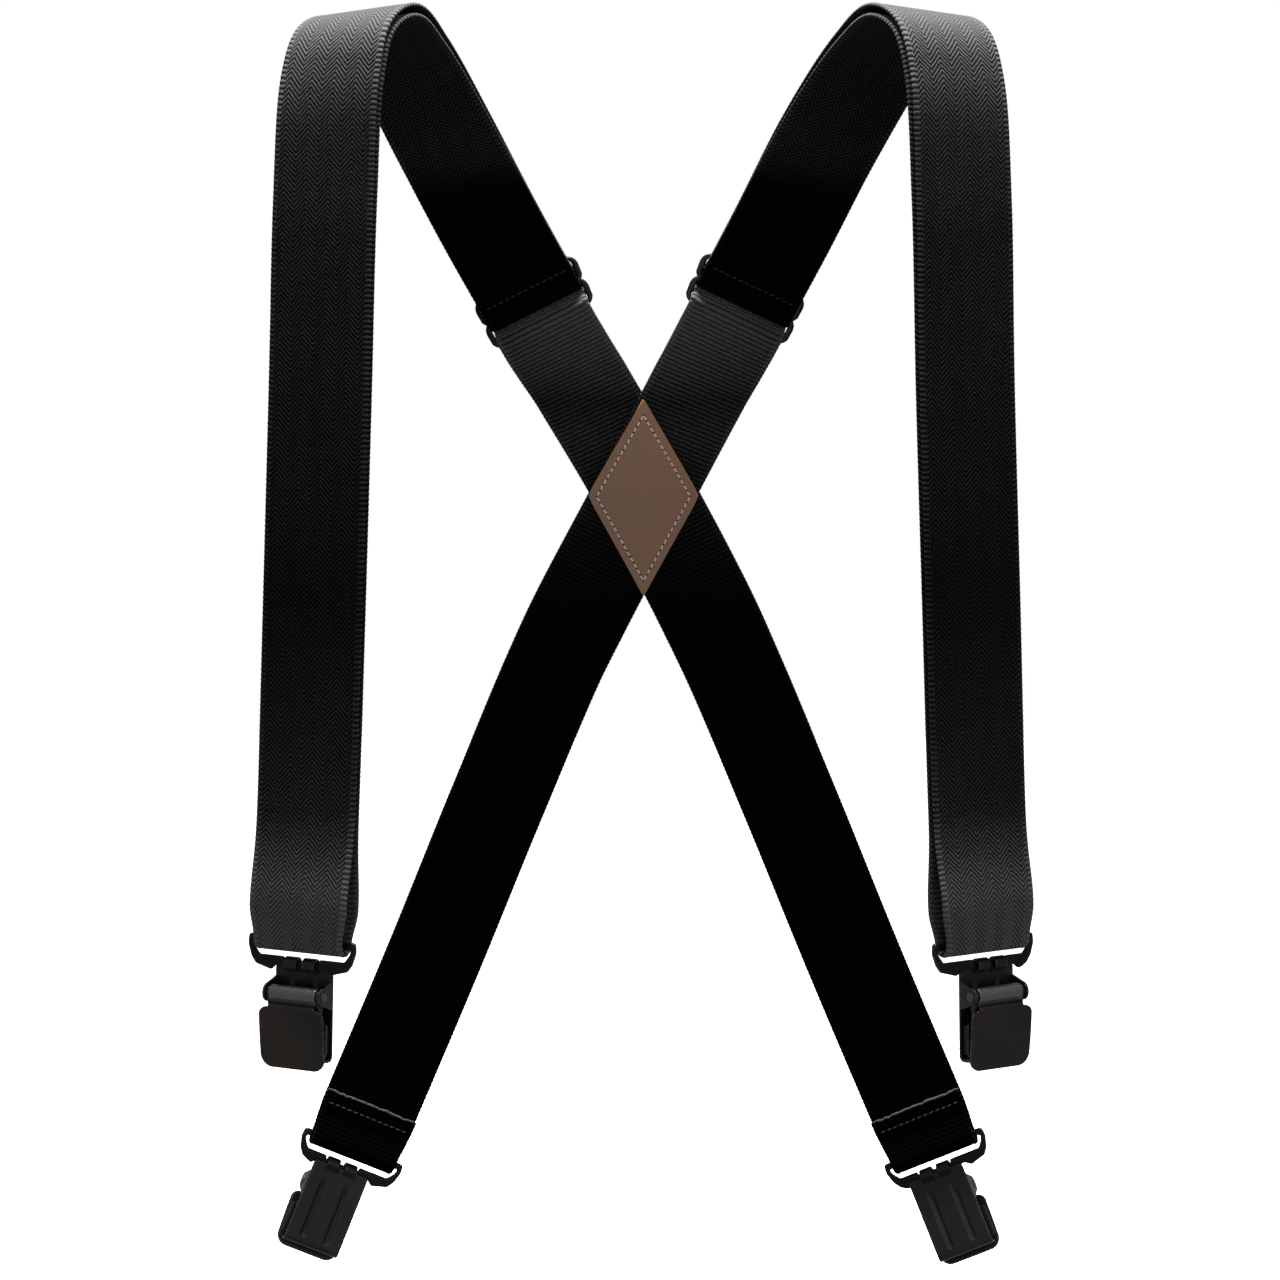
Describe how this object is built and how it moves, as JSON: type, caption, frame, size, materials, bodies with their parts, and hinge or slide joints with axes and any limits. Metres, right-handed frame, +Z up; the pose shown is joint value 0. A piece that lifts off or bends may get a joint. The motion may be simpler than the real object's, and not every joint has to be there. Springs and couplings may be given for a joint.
{
  "type": "suspenders",
  "caption": "X-back clip suspenders: crossed elastic webbing with leather crossing patches, sliding length adjusters and snap-lever clips hung on rings.",
  "frame": {"origin": "midway between the two shoulder arches, level with the inner webbing at its highest point", "axes": "+Z up when worn, -Y towards the wearer's front, -X towards the wearer's right"},
  "size_m": [0.2811, 0.2073, 0.4694],
  "materials": {
    "webbing": "matt herringbone elastic webbing",
    "leather": "smooth, lightly mottled",
    "ring": "satin black",
    "clip_steel": "satin charcoal",
    "lever": "satin black",
    "adjuster": "satin black",
    "grip": "matt"
  },
  "bodies": {
    "webbing": {"webbing_right_back": "webbing", "webbing_right_lower_run": "webbing", "webbing_right_upper_run_outer": "webbing", "webbing_right_upper_run_inner": "webbing", "webbing_right_front": "webbing", "webbing_left_back": "webbing", "webbing_left_lower_run": "webbing", "webbing_left_upper_run_outer": "webbing", "webbing_left_upper_run_inner": "webbing", "webbing_left_front": "webbing", "patch_inner": "leather", "patch_outer": "leather"},
    "adjuster_right": {"adjuster_right": "adjuster", "webbing_right_slide_bend": "webbing", "webbing_right_end_loop": "webbing"},
    "adjuster_left": {"adjuster_left": "adjuster", "webbing_left_slide_bend": "webbing", "webbing_left_end_loop": "webbing"},
    "ring_front_right": {"ring_front_right": "ring"},
    "clip_front_right": {"clip_body_front_right": "clip_steel", "body_pad_front_right": "grip", "pin_front_right": "clip_steel"},
    "jaw_front_right": {"jaw_front_right": "clip_steel", "jaw_pad_front_right": "grip"},
    "lever_front_right": {"lever_front_right": "lever"},
    "ring_front_left": {"ring_front_left": "ring"},
    "clip_front_left": {"clip_body_front_left": "clip_steel", "body_pad_front_left": "grip", "pin_front_left": "clip_steel"},
    "jaw_front_left": {"jaw_front_left": "clip_steel", "jaw_pad_front_left": "grip"},
    "lever_front_left": {"lever_front_left": "lever"},
    "ring_back_left": {"ring_back_left": "ring"},
    "clip_back_left": {"clip_body_back_left": "clip_steel", "body_pad_back_left": "grip", "pin_back_left": "clip_steel"},
    "jaw_back_left": {"jaw_back_left": "clip_steel", "jaw_pad_back_left": "grip"},
    "lever_back_left": {"lever_back_left": "lever"},
    "ring_back_right": {"ring_back_right": "ring"},
    "clip_back_right": {"clip_body_back_right": "clip_steel", "body_pad_back_right": "grip", "pin_back_right": "clip_steel"},
    "jaw_back_right": {"jaw_back_right": "clip_steel", "jaw_pad_back_right": "grip"},
    "lever_back_right": {"lever_back_right": "lever"}
  },
  "joints": [
    {"name": "adjuster_right_slide", "type": "slide", "parent": "webbing", "child": "adjuster_right", "axis": [-0.4525, -0.4379, 0.7768], "range_m": [-0.02, 0.06], "deforming": ["webbing_right_lower_run", "webbing_right_upper_run_outer", "webbing_right_upper_run_inner"]},
    {"name": "adjuster_left_slide", "type": "slide", "parent": "webbing", "child": "adjuster_left", "axis": [0.4304, -0.4445, 0.7856], "range_m": [-0.02, 0.06], "deforming": ["webbing_left_lower_run", "webbing_left_upper_run_outer", "webbing_left_upper_run_inner"]},
    {"name": "ring_front_right_swing", "type": "hinge", "parent": "webbing", "child": "ring_front_right", "pos_m": [-0.11879, -0.06727, -0.32545], "axis": [0.9053, -0.4195, -0.0661], "range_deg": [-70, 70]},
    {"name": "clip_front_right_swing", "type": "hinge", "parent": "ring_front_right", "child": "clip_front_right", "pos_m": [-0.1191, -0.06663, -0.33372], "axis": [0.9053, -0.4195, -0.0661], "range_deg": [-45, 45]},
    {"name": "lever_front_right_turn", "type": "hinge", "parent": "clip_front_right", "child": "lever_front_right", "pos_m": [-0.12119, -0.06954, -0.34385], "axis": [-0.9053, 0.4195, 0.0661], "range_deg": [0, 110]},
    {"name": "jaw_front_right_turn", "type": "hinge", "parent": "clip_front_right", "child": "jaw_front_right", "pos_m": [-0.12119, -0.06954, -0.34385], "axis": [-0.9053, 0.4195, 0.0661], "range_deg": [0, 11.5]},
    {"name": "ring_front_left_swing", "type": "hinge", "parent": "webbing", "child": "ring_front_left", "pos_m": [0.11812, -0.0672, -0.32544], "axis": [0.8561, 0.512, 0.0695], "range_deg": [-70, 70]},
    {"name": "clip_front_left_swing", "type": "hinge", "parent": "ring_front_left", "child": "clip_front_left", "pos_m": [0.12064, -0.06524, -0.33353], "axis": [0.8561, 0.512, 0.0695], "range_deg": [-45, 45]},
    {"name": "lever_front_left_turn", "type": "hinge", "parent": "clip_front_left", "child": "lever_front_left", "pos_m": [0.12309, -0.06796, -0.34363], "axis": [-0.8561, -0.512, -0.0695], "range_deg": [0, 110]},
    {"name": "jaw_front_left_turn", "type": "hinge", "parent": "clip_front_left", "child": "jaw_front_left", "pos_m": [0.12309, -0.06796, -0.34363], "axis": [-0.8561, -0.512, -0.0695], "range_deg": [0, 11.5]},
    {"name": "ring_back_left_swing", "type": "hinge", "parent": "webbing", "child": "ring_back_left", "pos_m": [0.11304, 0.11499, -0.41887], "axis": [-0.8862, 0.2572, -0.3853], "range_deg": [-70, 70]},
    {"name": "clip_back_left_swing", "type": "hinge", "parent": "ring_back_left", "child": "clip_back_left", "pos_m": [0.11389, 0.11506, -0.42753], "axis": [-0.8862, 0.2572, -0.3853], "range_deg": [-45, 45]},
    {"name": "lever_back_left_turn", "type": "hinge", "parent": "clip_back_left", "child": "lever_back_left", "pos_m": [0.11872, 0.11809, -0.43663], "axis": [0.8862, -0.2572, 0.3853], "range_deg": [0, 110]},
    {"name": "jaw_back_left_turn", "type": "hinge", "parent": "clip_back_left", "child": "jaw_back_left", "pos_m": [0.11872, 0.11809, -0.43663], "axis": [0.8862, -0.2572, 0.3853], "range_deg": [0, 11.5]},
    {"name": "ring_back_right_swing", "type": "hinge", "parent": "webbing", "child": "ring_back_right", "pos_m": [-0.11304, 0.11499, -0.41887], "axis": [-0.8862, -0.2572, 0.3853], "range_deg": [-70, 70]},
    {"name": "clip_back_right_swing", "type": "hinge", "parent": "ring_back_right", "child": "clip_back_right", "pos_m": [-0.11779, 0.11393, -0.42583], "axis": [-0.8862, -0.2572, 0.3853], "range_deg": [-45, 45]},
    {"name": "lever_back_right_turn", "type": "hinge", "parent": "clip_back_right", "child": "lever_back_right", "pos_m": [-0.12262, 0.11696, -0.43493], "axis": [0.8862, 0.2572, -0.3853], "range_deg": [0, 110]},
    {"name": "jaw_back_right_turn", "type": "hinge", "parent": "clip_back_right", "child": "jaw_back_right", "pos_m": [-0.12262, 0.11696, -0.43493], "axis": [0.8862, 0.2572, -0.3853], "range_deg": [0, 11.5]}
  ],
  "couplings": [
    {"joint": "jaw_front_right_turn", "follows": "lever_front_right_turn", "ratio": 0.1},
    {"joint": "jaw_front_left_turn", "follows": "lever_front_left_turn", "ratio": 0.1},
    {"joint": "jaw_back_left_turn", "follows": "lever_back_left_turn", "ratio": 0.1},
    {"joint": "jaw_back_right_turn", "follows": "lever_back_right_turn", "ratio": 0.1}
  ]
}
